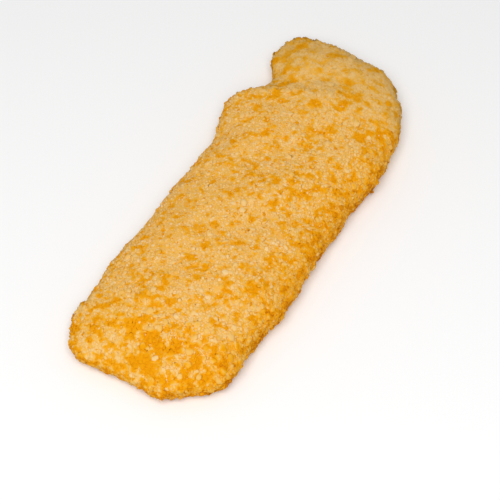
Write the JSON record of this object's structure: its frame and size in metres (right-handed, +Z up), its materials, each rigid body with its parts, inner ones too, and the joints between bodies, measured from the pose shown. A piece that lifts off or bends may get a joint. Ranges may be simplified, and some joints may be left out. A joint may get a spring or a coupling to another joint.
{
  "type": "fried fish fillet",
  "caption": "Long flat fried fish fillet in a golden crumb coat, with a broad thin head end, a domed back and a notched, rounded tail end.",
  "frame": {"origin": "on the flat resting face, below the middle of the outline's box", "axes": "+X along the fillet from its blunt head end to its tail end, +Y across it towards the notched edge, +Z up through its thickness"},
  "size_m": [0.1506, 0.066, 0.0177],
  "materials": {
    "crumb_coat": "dry, rough, golden crumb crust",
    "pale_crumb": "dry pale tan crumbs",
    "orange_crumb": "dry deep orange crumbs"
  },
  "bodies": {
    "root": {"fillet": "crumb_coat"}
  },
  "joints": []
}
